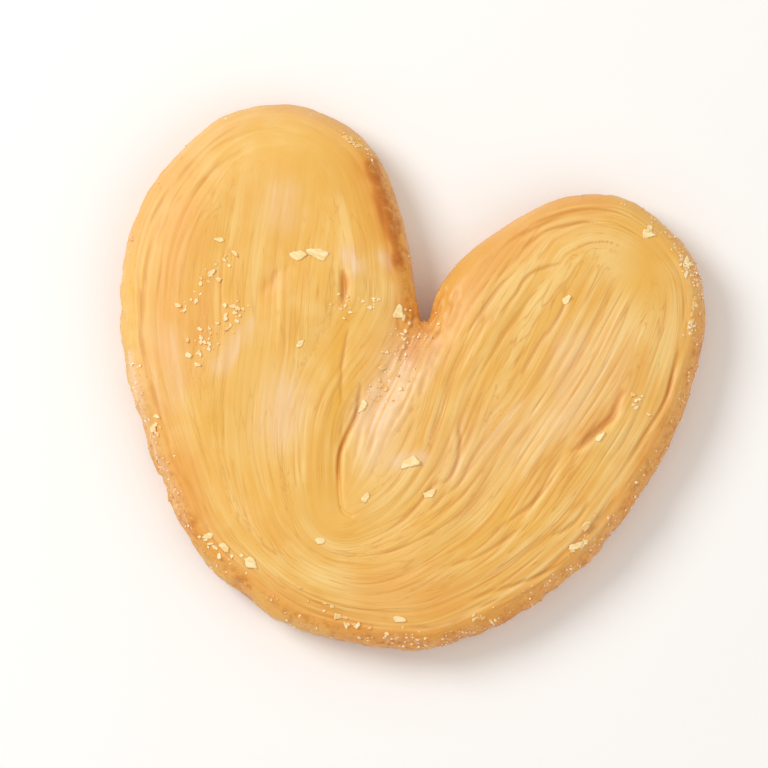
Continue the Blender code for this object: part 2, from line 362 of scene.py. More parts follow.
def across_strands(points):
    """How far each point lies across the strands, in millimetres; below 0 in the valley of the seam."""
    open_loop = smooth_curve(STRAND_LOOP, steps=8)
    loop = np.vstack([open_loop, smooth_curve(RIGHT_BANK, steps=8)[::-1], smooth_curve(LEFT_BANK, steps=8)[::-1]])
    from_edge, _, _ = nearest_on(loop, points)
    from_core, _, _ = nearest_on(smooth_curve(STRAND_CORE, steps=8), points)
    from_edge = np.where(inside(loop, points), from_edge, -from_edge)
    share = from_edge / (np.abs(from_edge) + from_core)
    return 0.5 * STRAND_SPAN * share + 0.5 * from_edge


def strand_places(across, angle, radius):
    """Coordinates that follow the dough: across the strands, then round a circle along them."""
    around = np.broadcast_to(angle, across.shape)
    return np.stack([across, radius * np.cos(around), radius * np.sin(around)], -1)


def grain_places(points):
    """Coordinates of the straight grain inside the lobes: across the core line, then along it."""
    far, along, side = nearest_on(smooth_curve(GRAIN_CORE, steps=8), points)
    across = far * side + 0.9 * wavy(points, 13.0, 24)
    return np.stack([across, along * GRAIN_LENGTH, np.full(len(points), 40.0)], 1)


def valley_places(points):
    """Coordinates that fan out over the seam's valley, from its left bank to its right bank."""
    from_left, _, _ = nearest_on(smooth_curve(LEFT_BANK, steps=8), points)
    from_right, _, _ = nearest_on(smooth_curve(RIGHT_BANK, steps=8), points)
    across = VALLEY_FAN * from_left / (from_left + from_right + 1e-6)
    return np.column_stack([across, points[:, 1], np.full(len(points), 80.0)])


def crumbly(points):
    """How rough the rim and the side wall are: the tips of the lobes are smoother than the fold."""
    return 0.35 + 0.65 * smooth_step(14.0, -8.0, points[:, 1])


def rim_lumps(points):
    """Blisters and sugar grain on the rim and the side wall."""
    lumps = 0.45 * wavy(points, 4.5, 5) + 0.26 * wavy(points, 1.7, 6) + 0.20 * wavy(points, 0.8, 7)
    return (np.minimum(crumbly(points) * lumps, 0.26) - 0.40) * smooth_step(0, 1.5, points[:, 2])


def wall_bulges(points):
    """Broad swellings of the side wall, and thin torn edges of dough that run along it."""
    height = points[:, 2]
    middle = smooth_step(0.0, 2.5, height) * smooth_step(RIM_HEIGHT, RIM_HEIGHT - 2.0, height)
    tall = points / (1.0, 1.0, 0.4)
    torn = smooth_step(0.0, 0.25, wavy(tall, 5.0, 61)) - 0.5
    return middle * (crumbly(points) * (0.9 * wavy(tall, 8.0, 60) + 0.22 * torn) - 0.3)


def fold_relief(points):
    """The single folds of the face: a crease and the raised dough on one side of it."""
    total = np.zeros(len(points))
    for depth, width, path in FOLDS:
        far, along, side = nearest_on(smooth_curve(path, steps=6), points)
        taper = np.sin(np.pi * np.clip(along, 0, 1)) ** 0.7
        crease = np.exp(-((far / (0.65 * width)) ** 2))
        swollen = np.exp(-(((far * side - 1.8 * width) / (1.7 * width)) ** 2))
        total += 0.85 * depth * taper * (0.4 * swollen - crease)
    return total * (0.9 + 0.6 * wavy(points, 6.0, 26))


def layering(points):
    """How strongly the layers stand out: much in the right lobe and the fold, little in the left lobe."""
    strong = smooth_step(-10, 14, points[:, 0] - 0.25 * points[:, 1])
    return (0.12 + 0.38 * strong) * (0.9 + 0.9 * wavy(points, 7.0, 9))


def sheet_relief(strand):
    """Thin overlapping sheets: each one rises slowly and ends in a step, and the highest one shows."""
    heights = []
    for lines, step, side, seed in SHEETS:
        warp = 1.2 * wavy(strand, (7.0, 40.0, 40.0), seed) + 0.2 * wavy(strand, (2.0, 16.0, 16.0), seed + 10)
        turn = (side * (strand[:, 0] * lines + warp)) % 1
        rise = np.minimum(turn / 0.72, smooth_step(1.0, 0.72, turn))
        heights.append(step * rise + 0.4 * wavy(strand, (3.0, 18.0, 18.0), seed + 20))
    return np.max(heights, axis=0) - 0.22


def core_fade(points):
    """0 where the strands of a lobe end in smooth dough, near its tip, and 1 elsewhere."""
    shown = np.ones(len(points))
    uneven = 1.5 * wavy(points, 3.0, 10)
    for x, y, reach in SMOOTH_SPOTS:
        far = np.linalg.norm(points - (x, y), axis=1) + uneven
        shown *= smooth_step(0.15 * reach, 1.1 * reach, far)
    return shown


def cracks(strand):
    """Thin wandering cracks: they follow the lines along which a stretched noise is zero."""
    total = np.zeros(len(strand))
    for depth, half_width, across, along, seed in CRACKS:
        field = wavy(strand, (across, along, along), seed)
        kept = smooth_step(-0.25, 0.15, wavy(strand, (across, 12.0, 12.0), seed + 30))
        total -= depth * kept * np.exp(-((field / half_width) ** 2))
    return total


def strand_relief(points, strand):
    """Sheets, rounded strands and cracks along one set of strand coordinates."""
    strands = sum(h * wavy(strand, (width, length, length), seed) for h, width, length, seed in STRANDS)
    strength = layering(points)
    return strength * sheet_relief(strand) + (0.25 + strength) * (strands + cracks(strand))


def beyond_banks(points, across):
    """1 on the strands and 0 in the sugared valley of the seam."""
    return smooth_step(-0.8, 1.4, across + 0.8 * wavy(points, 3.0, 14))


def face_relief(points, strand, grain, inner, in_valley, inset):
    """The height of sheets, strands, cracks and folds above the plain face."""
    outside_valley = beyond_banks(points, strand[:, 0])
    strands = mix((strand_relief(points, strand), strand_relief(points, grain)), inner)
    streaked = (0.35 + 0.65 * outside_valley) * (0.12 + 0.88 * core_fade(points)) * smooth_step(0.8, 3.0, inset)
    sugary = in_valley * smooth_step(-15.0, -2.0, points[:, 1])
    crumpled = 0.12 - 0.5 * np.abs(wavy(grain, (1.3, 4.5, 4.5), 15)) + 0.16 * wavy(points, 1.1, 16)
    valley = sugary * crumpled
    rim_groove = -0.14 * np.exp(-(((inset - 2.9 - 0.8 * wavy(points, 5.0, 11)) / 0.4) ** 2))
    grooved = rim_groove * (0.6 + 0.8 * wavy(points, 4.0, 12)) * outside_valley
    height, x, y, reach = BLISTER
    blister = height * np.exp(-((np.linalg.norm(points - (x, y), axis=1) / reach) ** 4))
    return streaked * strands + fold_relief(points) + valley + grooved + blister


def blurred(grid, size):
    """The grid averaged over this many rows to either side, and along them a little."""
    rows = np.pad(grid, ((size, size), (0, 0)), mode="edge")
    total = sum(rows[k : k + len(grid)] for k in range(2 * size + 1)) / (2 * size + 1)
    return (np.roll(total, 1, axis=1) + total + np.roll(total, -1, axis=1)) / 3


def under_relief(strand, level):
    """The pressed layers of the underside lie flat, with shallow gaps between them."""
    groove = smooth_step(0.0, 0.45, wavy(strand, (0.9, 9.0, 9.0), 13))
    return -0.25 * groove * smooth_step(0.0, 0.12, level)


# ---------------------------------------------------------------- the fine surface
def average_by(number, values):
    """The mean of the values that share a number, for each number."""
    counts = np.bincount(number)
    values = values.reshape(len(values), -1)
    return np.stack([np.bincount(number, column) / counts for column in values.T], 1)


def quads(index, flipped=False):
    """The faces between the rows of a grid of indices whose last column joins its first."""
    beside = np.roll(index, -1, axis=1)
    corners = [index[:-1], beside[:-1], beside[1:], index[1:]]
    if flipped:
        corners.reverse()
    return np.stack(corners, -1).reshape(-1, 4)


def vertex_normals(places, faces):
    corner = places[faces]
    area = np.cross(corner[:, 2] - corner[:, 0], corner[:, 3] - corner[:, 1])
    total = np.zeros_like(places)
    for k in range(4):
        np.add.at(total, faces[:, k], area)
    return total / np.maximum(np.linalg.norm(total, axis=1), 1e-12)[:, None]


def pastry_surface():
    """The welded surface of the pastry: its places, faces and what the colours need at each point."""
    outer_loop, core_ends, on_rim = ribs()
    face, level = face_grid(outer_loop, core_ends)
    angle, radius = run_angles(face)
    flat = face.reshape(-1, 2)
    inset, _, _ = nearest_on(smooth_curve(OUTLINE, closed=True), flat)
    from_seam, along_seam, _ = nearest_on(smooth_curve(SEAM), flat)
    top = np.column_stack([flat, face_height(flat, inset, from_seam, along_seam)])
    wall = wall_grid(outer_loop[on_rim])
    under = under_grid(wall[-1, :, :2], outer_loop, core_ends, on_rim)
    under_level = np.repeat(np.linspace(0, 1, UNDER_ROWS + 1)[:, None], len(outer_loop), axis=1)

    # All points in one list: the face's, the wall's and the underside's, and the grids of their indices.
    points = np.vstack([top, wall.reshape(-1, 3), np.pad(under.reshape(-1, 2), ((0, 0), (0, 1)))])
    face_index = np.arange(face[..., 0].size).reshape(level.shape)
    wall_index = face_index.size + np.arange(wall[..., 0].size).reshape(wall.shape[:2])
    under_index = face_index.size + wall_index.size + np.arange(under[..., 0].size).reshape(under.shape[:2])
    on_wall = wall_index.ravel()
    wall_index = np.vstack([face_index[:1, on_rim], wall_index])

    down = np.linspace(0, 1, WALL_ROWS + 1)[1:, None] * np.ones(on_rim.sum())
    strand = np.vstack([
        strand_places(across_strands(flat).reshape(level.shape), angle, radius).reshape(-1, 3),
        strand_places(-7.0 * down, angle[on_rim], radius).reshape(-1, 3),
        strand_places(under_level * STRAND_SPAN, angle, radius).reshape(-1, 3),
    ])
    on_face = face_index.ravel()
    across = strand[on_face, 0]
    in_valley = (1 - beyond_banks(flat, across)) * smooth_step(6.0, 4.0, from_seam)
    grain = np.where(in_valley[:, None] > 0, valley_places(flat), grain_places(flat))
    inner = np.maximum(in_valley, smooth_step(*GRAIN_BEGINS, across + 0.8 * wavy(flat, 4.0, 17)))
    height = face_relief(flat, strand[on_face], grain, inner, in_valley, inset).reshape(level.shape)
    # How far each point lies below its blurred surroundings: the crust paints shade in the hollows and highlights on
    # the ridges from it.
    hollow_shade = blurred(height, 4) - height
    relief = np.zeros(len(points))
    relief_shade = np.zeros(len(points))
    relief[on_face] = height.ravel() + np.exp(-((inset / 2.2) ** 2)) * rim_lumps(top)
    relief_shade[on_face] = hollow_shade.ravel()
    relief[on_wall] = rim_lumps(points[on_wall]) + wall_bulges(points[on_wall])
    relief[under_index.ravel()] = under_relief(strand[under_index.ravel()], under_level.ravel())

    faces = np.vstack([quads(face_index), quads(wall_index, True), quads(under_index, True)])
    _, number = np.unique(points.round(4), axis=0, return_inverse=True)
    number = number.ravel()
    places = average_by(number, points)
    places += vertex_normals(places, number[faces]) * average_by(number, relief)
    places[:, 2] = np.maximum(places[:, 2], 0)
    grains = np.zeros((len(points), 4))
    grains[on_face] = np.column_stack([grain, inner])
    return places, faces, number, strand, average_by(number, grains), average_by(number, relief_shade)[:, 0]


def middle_of_outline():
    outline = smooth_curve(OUTLINE, closed=True)
    return np.array([*(outline.min(0) + outline.max(0)) / 2, 0.0])


def to_metres(places):
    """From the drawing frame in millimetres to the part's frame in metres."""
    return (places - middle_of_outline()) * MM


# ---------------------------------------------------------------- colour fields of the crust
# Each stain is (strength, reach, path): soft, and strongest on its path.
# Browned crust; one stain paints the shadow of the right lobe's big fold.
BROWN_STAINS_AND_FOLD_SHADOW = [
    (1.00, 1.9, [(-10.6, 25.0), (-9.0, 23.2), (-7.6, 21.3), (-5.8, 19.0)]),
    (0.95, 1.4, [(-5.8, 19.0), (-4.6, 17.2), (-3.3, 14.8)]),
    (0.60, 1.1, [(-3.1, 14.8), (-1.9, 12.4), (-1.0, 10.4)]),
    (0.72, 2.4, [(0.8, 9.4), (1.8, 6.8), (2.2, 5.4)]),
    (0.42, 1.1, [(-24.3, 4.0), (-22.8, -2.5)]),
    (0.45, 0.6, [(-8.7, 10.5), (-8.2, 9.6)]),
    (0.25, 0.8, [(-8.2, 9.6), (-7.6, 7.4)]),
    (0.32, 1.7, [(-17.2, 5.8), (-16.4, 7.8)]),
    (0.70, 2.6, [(-20.5, -18.5), (-16.5, -23.5)]),
    (0.68, 1.4, [(-16.0, -25.0), (-8.0, -29.0)]),
    (0.42, 1.8, [(-26.3, -11.5), (-23.5, -16.5)]),
    (0.55, 1.3, [(-8.0, -28.3), (0.0, -30.5), (10.0, -30.0), (18.0, -27.5)]),
    (0.75, 1.1, [(19.0, -27.0), (22.5, -24.5), (26.0, -21.5)]),
    # Painted shadow of the big fold in the right lobe.
    (0.50, 0.9, [(28.2, 8.5), (27.6, 5.8), (25.5, 2.5)]),
    (0.45, 0.8, [(34.0, 12.0), (34.3, 7.0), (33.2, 2.0)]),
    (0.40, 1.4, [(29.0, 31.0), (33.5, 26.0), (36.0, 18.0)]),
    (0.62, 1.6, [(36.0, 18.0), (36.6, 10.0), (35.3, 1.0), (33.6, -6.0)]),
    (0.45, 1.3, [(33.4, -8.4), (29.5, -16.0), (25.0, -22.0)]),
]
PALE = [
    (0.97, 2.3, [(2.2, 4.6), (1.8, 1.0), (1.2, -2.0), (0.8, -5.0)]),
    (0.40, 2.6, [(3.4, 5.0), (2.6, 1.0), (1.6, -5.0), (2.0, -9.0)]),
    (0.75, 0.8, [(5.2, -8.8), (7.9, -7.3)]),
    (0.60, 2.6, [(-10.5, -6.0), (-9.8, -10.0)]),
    (0.70, 1.1, [(-9.2, 13.3), (-8.0, 12.3)]),
    (0.70, 0.9, [(-5.2, 14.6), (-4.5, 14.2)]),
    (0.50, 1.2, [(-17.6, 1.0), (-19.5, -5.0)]),
    (0.40, 2.2, [(-19.5, 17.5), (-18.5, 15.0)]),
    (0.15, 1.5, [(-35.3, 2.0), (-35.2, 11.8), (-32.5, 19.8), (-28.3, 25.2), (-21.5, 28.6), (-15.0, 27.9)]),
    (0.38, 3.0, [(23.0, 4.0), (20.5, 12.0)]),
    (0.25, 5.0, [(13.0, -5.0), (18.0, 0.0)]),
    (0.20, 3.0, [(27.5, 9.0), (25.0, 15.0)]),
    (0.25, 2.2, [(-26.5, -5.0), (-24.0, -10.5)]),
    (0.90, 0.9, [(-30.5, -8.0), (-25.3, -16.3), (-17.0, -25.0)]),
]
AMBER = [
    (0.95, 1.1, [(-6.8, 6.0), (-6.4, 0.9), (-4.4, -4.0), (-2.8, -8.8)]),
    (0.80, 3.2, [(25.5, 25.3), (26.5, 22.0)]),
    (0.60, 3.0, [(-1.0, -13.0), (3.0, -17.5)]),
    (0.60, 4.5, [(-12.0, -14.0), (-17.0, -10.0)]),
    (0.35, 3.0, [(-15.0, 0.0), (-14.5, -5.0)]),
    (0.45, 3.5, [(8.0, -24.0), (14.0, -23.0)]),
    (0.40, 5.0, [(7.0, -19.0), (13.0, -12.0)]),
    (0.30, 3.5, [(-20.0, 20.0), (-18.0, 14.0)]),
    (0.70, 1.0, [(-19.5, 2.0), (-17.8, -4.5), (-16.8, -9.0)]),
]


ORANGED = [
    (1.00, 2.6, [(3.8, 8.0), (5.8, 14.0), (8.5, 21.0), (12.0, 26.5), (17.0, 30.5)]),
    (0.32, 2.0, [(-36.0, 4.0), (-35.2, 12.0), (-31.5, 21.0), (-25.5, 28.0), (-18.0, 30.5)]),
    (0.30, 2.0, [(-0.6, 9.0), (-1.6, 5.0), (-2.4, 2.0)]),
    (0.80, 2.0, [(-24.0, 29.0), (-14.0, 29.5)]),
    (0.25, 3.0, [(-24.0, 0.0), (-22.0, -6.0)]),
    (0.68, 3.0, [(-30.0, 11.0), (-28.5, 0.0), (-26.5, -6.0)]),
    (0.65, 4.0, [(8.0, -25.0), (16.0, -22.5)]),
    (0.85, 1.8, [(5.0, -31.0), (16.0, -28.8), (24.0, -22.8), (31.0, -12.0), (34.5, -4.0)]),
]
SUGARED = [
    (1.00, 1.3, [(28.5, 31.5), (31.5, 28.5), (33.5, 25.0)]),
    (0.35, 2.0, [(1.8, 8.5), (1.4, 3.0), (0.6, -1.0)]),
    (0.60, 1.3, [(-36.2, 6.0), (-35.8, 1.0)]),
    (0.80, 1.0, [(-30.5, -8.0), (-25.3, -16.3), (-17.0, -25.0)]),
    (0.25, 1.2, [(-21.8, -1.0), (-20.6, -5.0)]),
    (0.50, 1.0, [(29.5, -11.0), (31.0, -9.5)]),
    (0.60, 1.0, [(12.0, -30.0), (17.0, -28.5)]),
]


def stained(points, stains, wander=0.5):
    """How much each point is stained, from 0 to 1; wander makes the edges uneven, in millimetres."""
    uneven = wander * wavy(points, 2.2, 21)
    clean = np.ones(len(points))
    for strength, reach, path in stains:
        far, _, _ = nearest_on(np.array(path, float), points)
        clean *= 1 - strength * np.exp(-((np.maximum(far + uneven, 0) / reach) ** 2))
    return 1 - clean


def crust_fields(places, relief_shade):
    """The crust's colour fields at each place, by the name of their attribute."""
    flat = places[:, :2]
    inset, _, _ = nearest_on(smooth_curve(OUTLINE, closed=True), flat)
    # away_from_key_light rises from the side that the key light falls on to the side facing away from it. The brown
    # and orange fields use it to paint shade there, and the sugar field uses it to put more sugar there.
    away_from_key_light = smooth_step(-0.2, 0.95, flat @ (0.905, -0.424) / 36)
    at_notch = smooth_step(8.0, 3.0, np.linalg.norm(flat - (1.8, 8.0), axis=1))
    tray = 0.45 * smooth_step(2.2, 0.4, places[:, 2])
    low = smooth_step(6.8, 4.2, places[:, 2]) * smooth_step(5.0, 2.0, inset) * (1 - 0.7 * at_notch)
    toasted = smooth_step(4.4, 1.0, places[:, 2]) * smooth_step(-0.5, 0.5, wavy(places, 6.0, 43))
    rim = smooth_step(3.4, 0.6, inset + 0.6 * wavy(flat, 3.0, 22))
    # Browned side wall and tray-baked foot, plus painted shade that grows on the side facing away from the key light.
    side = np.maximum(low * (0.32 + 0.28 * away_from_key_light + 0.4 * toasted) + tray, rim * (0.03 + 0.28 * away_from_key_light))
    up = smooth_step(4.5, 7.0, places[:, 2])
    browning_and_shade = 1 - (1 - side) * (1 - stained(flat, BROWN_STAINS_AND_FOLD_SHADOW) * smooth_step(2.0, 5.5, places[:, 2]))
    grainy = smooth_step(-0.1, 0.5, wavy(flat, 2.5, 41))
    band = smooth_step(3.0, 0.5, inset) * smooth_step(1.2, 3.0, places[:, 2])
    sugar = 0.45 * band * (0.15 + away_from_key_light) * (0.15 + grainy) + 0.6 * stained(flat, SUGARED) * up
    across = across_strands(flat)
    crisp = 0.42 + 0.58 * smooth_step(-10, 14, flat[:, 0] - 0.25 * flat[:, 1])
    return {
        "sugar": sugar,
        "streaky": core_fade(flat) * (0.45 + 0.55 * beyond_banks(flat, across)) * crisp * smooth_step(0.8, 3.0, inset),
        # Orange near the rim on the side facing away from the key light is painted shade; the ORANGED stains are the
        # crust's own tint.
        "orange_tint_and_shade": np.maximum(0.5 * smooth_step(7.0, 1.0, inset + 1.5 * wavy(flat, 4.0, 23)) * away_from_key_light, stained(flat, ORANGED)),
        "browning_and_shade": browning_and_shade,
        "pale": stained(flat, PALE) * up,
        "amber": stained(flat, AMBER) * up,
        "relief_shade": relief_shade,
        "rim": np.maximum(rim, low),
    }


# ---------------------------------------------------------------- meshes
def new_piece(name, places, faces, material):
    """A smooth-shaded mesh object, from places in metres."""
    mesh = bpy.data.meshes.new(name)
    mesh.from_pydata(np.asarray(places).tolist(), [], faces)
    mesh.shade_smooth()
    mesh.materials.append(material)
    piece = bpy.data.objects.new(name, mesh)
    bpy.context.scene.collection.objects.link(piece)
    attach(piece, "root")
    return piece


def add_field(mesh, name, values, domain="POINT"):
    kind, key = ("FLOAT_VECTOR", "vector") if values.ndim == 2 else ("FLOAT", "value")
    mesh.attributes.new(name, kind, domain).data.foreach_set(key, values.astype(np.float32).ravel())


def make_pastry(material):
    places, faces, number, strand, grain, relief_shade = pastry_surface()
    polygons, corners = [], []
    for quad in faces.tolist():
        kept = [k for k in range(4) if number[quad[k]] != number[quad[k - 1]]]
        if len(kept) > 2:
            polygons.append([int(number[quad[k]]) for k in kept])
            corners.extend(quad[k] for k in kept)
    pastry = new_piece("pastry", to_metres(places), polygons, material)
    add_field(pastry.data, "strand", strand[corners], "CORNER")
    add_field(pastry.data, "grain", grain[:, :3])
    add_field(pastry.data, "inner", grain[:, 3])
    for name, values in crust_fields(places, relief_shade).items():
        add_field(pastry.data, name, values)
    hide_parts(NODE)
    return pastry


# ---------------------------------------------------------------- flakes, crumbs and sugar
SEED = 7

# Loose flakes on the face: (x, y, length, width, direction in degrees)
FLAKES = [
    (-15.2, 11.1, 2.4, 1.4, 20), (-12.6, 12.1, 3.2, 1.5, 5), (-11.0, 0.8, 1.5, 0.8, 60), (-0.5, 9.0, 1.9, 1.3, 100),
    (6.6, -8.2, 2.9, 1.2, 38), (3.0, -14.2, 1.8, 0.9, 60), (-0.5, -21.2, 1.5, 0.8, 10), (-13.5, -25.5, 1.3, 0.8, 35),
    (-11.5, -26.3, 1.7, 1.0, 0), (-7.7, -26.8, 2.0, 1.2, 10), (24.7, 28.6, 1.9, 1.0, 30), (24.9, 30.0, 1.2, 0.8, 80),
    (17.9, 17.2, 1.5, 0.9, 60), (12.0, -27.2, 1.8, 0.9, 15), (-24.8, 9.6, 1.0, 0.8, 45), (-1.4, -3.7, 1.8, 0.9, 80),
    (27.5, 2.4, 1.6, 0.9, 50), (29.5, -11.0, 2.0, 0.8, 50), (-26.5, -16.5, 1.2, 0.7, 20), (10.0, -11.2, 1.8, 0.8, 40),
]  # fmt: skip

# Clusters of crumbs: (x, y, spread along the lobe, spread across it, how many)
CRUMBS = [
    (-24.2, 5.2, 3.2, 0.9, 16), (-22.2, -2.6, 3.4, 1.1, 26), (-19.8, 1.5, 3.0, 1.0, 20), (-26.0, 0.4, 2.0, 0.6, 8),
    (-7.5, 7.5, 2.0, 1.4, 10), (-4.5, 8.6, 1.6, 1.2, 8), (-13.5, 28.3, 0.8, 1.8, 18), (1.4, 6.0, 2.6, 1.2, 16), (0.4, -1.5, 3.5, 1.3, 6),
    (31.0, 27.5, 2.2, 1.2, 16), (34.5, 21.0, 3.0, 0.8, 14), (-12.0, -27.0, 0.9, 3.0, 16), (6.0, -29.5, 0.7, 5.0, 18),
    (22.0, -24.0, 0.8, 3.4, 9), (30.5, -10.0, 2.8, 0.8, 9), (-25.5, -16.0, 3.0, 0.7, 8), (29.8, 8.4, 0.9, 1.2, 9),
]  # fmt: skip
CRYSTALS = 800


def unit(vector):
    return vector / np.linalg.norm(vector)


def spin(rng):
    """A random turn, as a matrix."""
    q = unit(rng.normal(size=4))
    return np.array(Quaternion(q).to_matrix())


def lying_on(normal, turn):
    """Axes that lie on a surface with this normal: two along it, the first at this turn, and the normal."""
    first = np.array([math.cos(turn), math.sin(turn), 0.0])
    first = unit(first - normal * (first @ normal))
    return np.array([first, np.cross(normal, first), normal])


def surface_finder(pastry):
    """A function that gives the place and the normal of the pastry's top at a place of the drawing."""
    corners = [tuple(polygon.vertices) for polygon in pastry.data.polygons]
    tree = BVHTree.FromPolygons([tuple(v.co) for v in pastry.data.vertices], corners)
    middle = middle_of_outline()

    def find(x, y):
        place, normal, _, _ = tree.find_nearest(Vector(((x - middle[0]) * MM, (y - middle[1]) * MM, THICKNESS * MM)))
        return np.array(place), np.array(normal)

    return find


class Joined:
    """Many small shapes that become one mesh."""

    def __init__(self):
        self.places, self.faces, self.count = [], [], 0

    def add(self, places, faces):
        self.places.append(places)
        self.faces += [[self.count + k for k in face] for face in faces]
        self.count += len(places)

    def make(self, name, material, smooth=True):
        piece = new_piece(name, np.vstack(self.places), self.faces, material)
        piece.data.shade_smooth() if smooth else piece.data.shade_flat()
        return piece


CHIP_RINGS = 4
CHIP_SEGMENTS = 24


def chip_faces():
    """The faces of a chip: its upper rings, its lower rings, and the edge between them."""
    rings, segments = CHIP_RINGS, CHIP_SEGMENTS
    below = 1 + rings * segments
    faces = []
    for j in range(segments):
        beside = (j + 1) % segments
        faces.append((0, 1 + j, 1 + beside))
        for ring in range(rings - 1):
            a, b = 1 + ring * segments, 1 + (ring + 1) * segments
            faces.append((a + j, b + j, b + beside, a + beside))
    under = [tuple(k + below for k in reversed(face)) for face in faces]
    last = 1 + (rings - 1) * segments
    edge = []
    for j in range(segments):
        beside = (j + 1) % segments
        edge.append((last + beside, last + j, last + j + below, last + beside + below))
    return faces + under + edge


def chip(length, width, thickness, curl, rng):
    """A broken chip of a baked layer: a ragged many-cornered plate that curls up at its ends."""
    turns = np.linspace(0, 2 * np.pi, CHIP_SEGMENTS, endpoint=False)
    count = rng.integers(4, 7)
    sides = (np.arange(count) + rng.uniform(-0.4, 0.4, count)) * 2 * np.pi / count
    reach = np.min([rng.uniform(0.45, 0.95) / np.maximum(np.cos(turns - side), 0.2) for side in sides], axis=0)
    reach = np.minimum(reach, 1.3) * rng.uniform(0.88, 1.08, CHIP_SEGMENTS)
    share = np.linspace(0, 1, CHIP_RINGS + 1)[1:, None]
    u = np.append(0, share * reach * np.cos(turns)) * length / 2
    v = np.append(0, share * reach * np.sin(turns)) * width / 2
    lift = curl * (u / length * 2) ** 2 + 0.5 * curl * (v / width * 2) ** 2
    lift += 0.3 * curl * wavy(np.column_stack([u, v]), 0.4 * length, rng.uniform(0, 90))
    half = 0.5 * thickness * np.append(1, np.repeat([1, 1, 1, 0.55], CHIP_SEGMENTS))
    return np.vstack([np.column_stack([u, v, lift + half]), np.column_stack([u, v, lift - half])])


def make_flakes(find, material, rng):
    joined = Joined()
    for x, y, length, width, turn in FLAKES:
        place, normal = find(x, y)
        shape = chip(1.25 * length, 1.25 * width, 0.1, rng.uniform(0.04, 0.15), rng) + (0, 0, 0.05)
        axes = lying_on(normal, math.radians(turn))
        joined.add(place + shape @ axes * MM, chip_faces())
    return joined.make("loose_flakes", material)


def make_crumbs(find, material, rng):
    joined = Joined()
    lean = math.radians(75)
    for x, y, along, across, number in CRUMBS:
        for a, b in rng.normal(size=(number, 2)) * (along, across) * 0.6:
            place, normal = find(
                x + a * math.cos(lean) + b * math.sin(lean),
                y + a * math.sin(lean) - b * math.cos(lean),
            )
            size = rng.uniform(0.35, 0.9) * (1.6 if rng.uniform() < 0.12 else 1.0)
            shape = chip(size, size * rng.uniform(0.5, 0.9), size * rng.uniform(0.15, 0.3), 0.1 * size, rng)
            tipped = unit(normal + rng.normal(size=3) * 0.15)
            axes = lying_on(tipped, rng.uniform(0, 2 * np.pi))
            joined.add(place + (shape + (0, 0, 0.05 * size)) @ axes * MM, chip_faces())
    return joined.make("crumbs", material)


CUBE = np.array([(x, y, z) for x in (-1, 1) for y in (-1, 1) for z in (-1, 1)], float)
CUBE_FACES = [(0, 1, 3, 2), (4, 6, 7, 5), (0, 4, 5, 1), (2, 3, 7, 6), (0, 2, 6, 4), (1, 5, 7, 3)]


def make_sugar(pastry, material, rng):
    """Sugar crystals baked into the rim, thickest at the sides that the camera sees as the lower right."""
    mesh = pastry.data
    places = np.empty(len(mesh.vertices) * 3)
    normals = np.empty(len(mesh.vertices) * 3)
    mesh.vertices.foreach_get("co", places)
    mesh.vertex_normals.foreach_get("vector", normals)
    places, normals = places.reshape(-1, 3), normals.reshape(-1, 3)
    sugar = np.empty(len(mesh.vertices))
    mesh.attributes["sugar"].data.foreach_get("value", sugar)
    chosen = rng.choice(len(sugar), CRYSTALS, p=sugar / sugar.sum())
    joined = Joined()
    for k in chosen:
        size = rng.uniform(0.06, 0.15)
        shape = CUBE * rng.uniform(0.6, 1.15, 3) @ spin(rng) * size
        nudge = rng.normal(size=3) * 0.08
        joined.add(places[k] + (shape + nudge - normals[k] * 0.2 * size) * MM, CUBE_FACES)
    return joined.make("sugar_crystals", material, smooth=False)


# ---------------------------------------------------------------- materials
def srgb(red, green, blue):
    """A colour as a screen shows it, from 0 to 255, as the linear colour that Blender uses."""
    linear = [((c / 255 + 0.055) / 1.055) ** 2.4 for c in (red, green, blue)]
    return (*linear, 1.0)


GOLD = srgb(240, 187, 92)
STREAK_LIGHT = srgb(250, 214, 138)
STREAK_DARK = srgb(233, 166, 70)
AMBER_COLOUR = srgb(234, 174, 62)
ORANGE = srgb(234, 163, 74)
PALE_COLOUR = srgb(243, 202, 156)
BROWN_COLOUR = srgb(228, 142, 38)
CARAMEL = srgb(192, 106, 22)
DARK_BROWN = srgb(170, 92, 22)
# Colour of the thin dark hairlines and of the painted shade in hollows.
LINE_AND_HOLLOW_SHADE_COLOUR = srgb(206, 138, 50)
# Painted shade in the deepest creases.
CREASE_SHADE_COLOUR = srgb(168, 104, 38)
SUGAR_COLOUR = srgb(253, 232, 205)
CREAM = srgb(246, 208, 132)
HAIRLINES = [(0.45, 5.0), (0.85, 9.0), (1.5, 13.0), (0.7, 17.0)]  # how many a millimetre, roughly, and where in the noise


